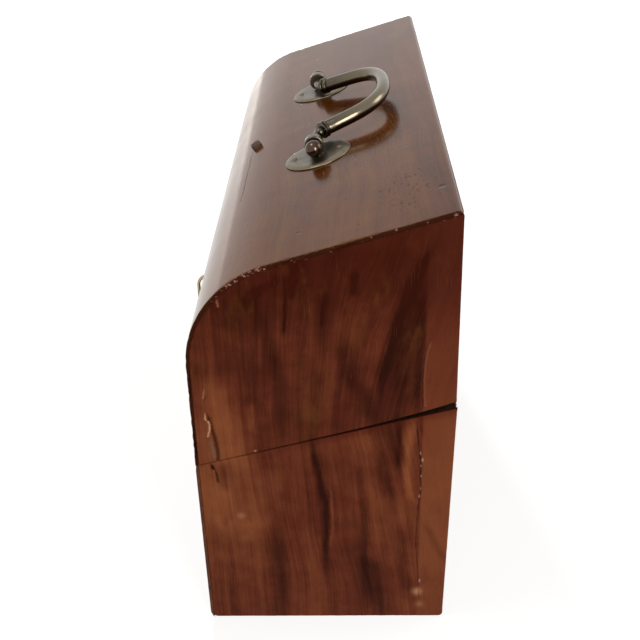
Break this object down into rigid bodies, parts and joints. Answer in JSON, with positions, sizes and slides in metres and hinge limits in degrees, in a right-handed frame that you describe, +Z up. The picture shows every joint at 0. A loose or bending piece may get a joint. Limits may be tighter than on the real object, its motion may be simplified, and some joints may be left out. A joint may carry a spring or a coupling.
{
  "type": "decanter box",
  "caption": "Veneered case with bottle wells and a sloping, round-nosed hinged lid that carries a bail handle, with a keyed turn lock at the front and stopped butt hinges.",
  "frame": {"origin": "centre of the bottom face, which rests on the table", "axes": "+Z up, +X along the length to the viewer's right when facing the front, and the front with the key faces -Y"},
  "size_m": [0.411, 0.1768, 0.2699],
  "materials": {
    "show_wood": "glossy, darkened finish with scratches and handling marks",
    "carcass_wood": "bare, dull",
    "divider_wood": "rubbed, satin",
    "lining": "short worn nap",
    "old_brass": "dull, brown-olive tarnish rubbed bright on the high spots",
    "lock_brass": "dull, spotted",
    "hinge_brass": "dull, brighter at the knuckles",
    "steel": "aged, dull",
    "stud_iron": "dark, rough"
  },
  "bodies": {
    "base": {"base_front_board": "carcass_wood", "base_back_board": "carcass_wood", "base_end_board_left": "carcass_wood", "base_end_board_right": "carcass_wood", "base_bottom_board": "carcass_wood", "base_front_veneer": "show_wood", "base_back_veneer": "show_wood", "base_end_veneer_left": "show_wood", "base_end_veneer_right": "show_wood", "divider_left": "divider_wood", "divider_right": "divider_wood", "well_pad_left": "lining", "well_pad_middle": "lining", "well_pad_right": "lining", "lock_plate": "lock_brass", "lock_cap": "lock_brass", "lock_screws": "steel", "escutcheon": "lock_brass", "escutcheon_pins": "lock_brass", "hinge_leaf_base_left": "hinge_brass", "hinge_leaf_base_right": "hinge_brass", "hinge_pin_left": "hinge_brass", "hinge_pin_right": "hinge_brass", "hinge_screws_base": "steel"},
    "lid": {"lid_front_board": "carcass_wood", "lid_nose_block": "carcass_wood", "lid_top_board": "carcass_wood", "lid_back_board": "carcass_wood", "lid_end_board_left": "carcass_wood", "lid_end_board_right": "carcass_wood", "lid_top_sheet": "show_wood", "lid_back_veneer": "show_wood", "lid_end_veneer_left": "show_wood", "lid_end_veneer_right": "show_wood", "lid_lining": "lining", "keeper": "lock_brass", "keeper_screws": "steel", "hinge_leaf_lid_left": "hinge_brass", "hinge_leaf_lid_right": "hinge_brass", "hinge_screws_lid": "steel", "handle_plate_left": "old_brass", "handle_plate_right": "old_brass", "handle_plate_pins": "old_brass", "handle_post_left": "old_brass", "handle_post_right": "old_brass", "handle_washers": "steel", "handle_nuts": "steel", "nose_stud": "stud_iron"},
    "key": {"key": "lock_brass", "lock_hook": "lock_brass"},
    "bail": {"bail": "old_brass", "bail_knob_left": "old_brass", "bail_knob_right": "old_brass"}
  },
  "joints": [
    {"name": "lid_hinge", "type": "hinge", "parent": "base", "child": "lid", "pos_m": [0, 0.0758, 0.1525], "axis": [-1, 0, 0], "range_deg": [0, 95]},
    {"name": "key_turn", "type": "hinge", "parent": "base", "child": "key", "pos_m": [-0.006, -0.0602, 0.103], "axis": [0, 1, 0], "range_deg": [0, 90]},
    {"name": "bail_swing", "type": "hinge", "parent": "lid", "child": "bail", "pos_m": [0.002, -0.00454, 0.24825], "axis": [1, 0, 0], "range_deg": [-8.4, 174.8]}
  ]
}
